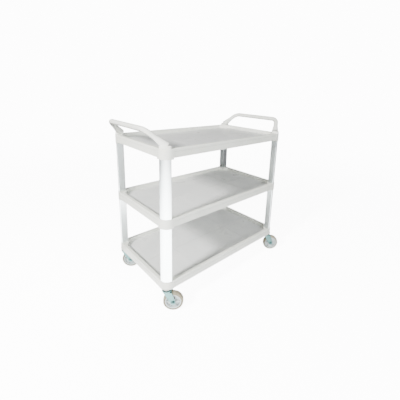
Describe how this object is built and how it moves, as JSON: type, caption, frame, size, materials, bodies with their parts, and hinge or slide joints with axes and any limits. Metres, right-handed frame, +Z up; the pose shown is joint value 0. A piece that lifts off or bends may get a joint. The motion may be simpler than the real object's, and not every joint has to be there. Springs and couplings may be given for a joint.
{
  "type": "food service trolley",
  "caption": "Three-tier moulded food service trolley with raised tray rims, quarter-round posts, raised end handles and swivel casters.",
  "frame": {"origin": "on the floor, under the centre of the shelves", "axes": "+Z up, X along the length from end handle to end handle, Y across the width"},
  "size_m": [0.9656, 0.5323, 0.9002],
  "materials": {
    "shelf_plastic": "satin moulded off-white, light grey tint",
    "handle_plastic": "smooth satin off-white moulding",
    "post_aluminium": "satin anodised extrusion, cool tint",
    "plug_nylon": "natural nylon",
    "screw_steel": "dull zinc plate",
    "insert_brass": "knurled brass",
    "caster_zinc": "bright zinc plate with a blue-green passivate tint",
    "ball_steel": "polished",
    "bush_steel": "turned steel",
    "wheel_plastic": "white moulded wheel",
    "tyre_rubber": "pale warm grey non-marking rubber"
  },
  "bodies": {
    "chassis": {"top_shelf": "shelf_plastic", "middle_shelf": "shelf_plastic", "bottom_shelf": "shelf_plastic", "upper_post_front_left": "post_aluminium", "upper_post_front_right": "post_aluminium", "upper_post_back_left": "post_aluminium", "upper_post_back_right": "post_aluminium", "lower_post_front_left": "post_aluminium", "lower_post_front_right": "post_aluminium", "lower_post_back_left": "post_aluminium", "lower_post_back_right": "post_aluminium", "upper_post_plugs": "plug_nylon", "lower_post_plugs": "plug_nylon", "top_shelf_screws": "screw_steel", "middle_shelf_screws": "screw_steel", "bottom_shelf_screws": "screw_steel", "left_handle": "handle_plastic", "right_handle": "handle_plastic", "left_handle_bolts": "screw_steel", "right_handle_bolts": "screw_steel", "handle_inserts": "insert_brass", "caster_stem_sleeves": "bush_steel", "kingpin_nuts": "caster_zinc", "caster_stem_front_left": "caster_zinc", "caster_race_front_left": "caster_zinc", "caster_stem_front_right": "caster_zinc", "caster_race_front_right": "caster_zinc", "caster_stem_back_left": "caster_zinc", "caster_race_back_left": "caster_zinc", "caster_stem_back_right": "caster_zinc", "caster_race_back_right": "caster_zinc"},
    "swivel_front_left": {"fork_front_left": "caster_zinc", "bearing_balls_front_left": "ball_steel", "axle_bolt_front_left": "caster_zinc", "axle_nut_front_left": "caster_zinc"},
    "wheel_front_left": {"wheel_core_front_left": "wheel_plastic", "tyre_front_left": "tyre_rubber", "axle_bush_front_left": "bush_steel"},
    "swivel_front_right": {"fork_front_right": "caster_zinc", "bearing_balls_front_right": "ball_steel", "axle_bolt_front_right": "caster_zinc", "axle_nut_front_right": "caster_zinc"},
    "wheel_front_right": {"wheel_core_front_right": "wheel_plastic", "tyre_front_right": "tyre_rubber", "axle_bush_front_right": "bush_steel"},
    "swivel_back_left": {"fork_back_left": "caster_zinc", "bearing_balls_back_left": "ball_steel", "axle_bolt_back_left": "caster_zinc", "axle_nut_back_left": "caster_zinc"},
    "wheel_back_left": {"wheel_core_back_left": "wheel_plastic", "tyre_back_left": "tyre_rubber", "axle_bush_back_left": "bush_steel"},
    "swivel_back_right": {"fork_back_right": "caster_zinc", "bearing_balls_back_right": "ball_steel", "axle_bolt_back_right": "caster_zinc", "axle_nut_back_right": "caster_zinc"},
    "wheel_back_right": {"wheel_core_back_right": "wheel_plastic", "tyre_back_right": "tyre_rubber", "axle_bush_back_right": "bush_steel"}
  },
  "joints": [
    {"name": "swivel_turn_front_left", "type": "hinge", "parent": "chassis", "child": "swivel_front_left", "pos_m": [-0.402, -0.222, 0.1], "axis": [0, 0, 1], "continuous": true},
    {"name": "wheel_spin_front_left", "type": "hinge", "parent": "swivel_front_left", "child": "wheel_front_left", "pos_m": [-0.37825, -0.24193, 0.05], "axis": [0.6428, 0.766, 0], "continuous": true},
    {"name": "swivel_turn_front_right", "type": "hinge", "parent": "chassis", "child": "swivel_front_right", "pos_m": [0.402, -0.222, 0.1], "axis": [0, 0, 1], "continuous": true},
    {"name": "wheel_spin_front_right", "type": "hinge", "parent": "swivel_front_right", "child": "wheel_front_right", "pos_m": [0.42575, -0.24193, 0.05], "axis": [0.6428, 0.766, 0], "continuous": true},
    {"name": "swivel_turn_back_left", "type": "hinge", "parent": "chassis", "child": "swivel_back_left", "pos_m": [-0.402, 0.222, 0.1], "axis": [0, 0, 1], "continuous": true},
    {"name": "wheel_spin_back_left", "type": "hinge", "parent": "swivel_back_left", "child": "wheel_back_left", "pos_m": [-0.37825, 0.20207, 0.05], "axis": [0.6428, 0.766, 0], "continuous": true},
    {"name": "swivel_turn_back_right", "type": "hinge", "parent": "chassis", "child": "swivel_back_right", "pos_m": [0.402, 0.222, 0.1], "axis": [0, 0, 1], "continuous": true},
    {"name": "wheel_spin_back_right", "type": "hinge", "parent": "swivel_back_right", "child": "wheel_back_right", "pos_m": [0.42575, 0.20207, 0.05], "axis": [0.6428, 0.766, 0], "continuous": true}
  ]
}
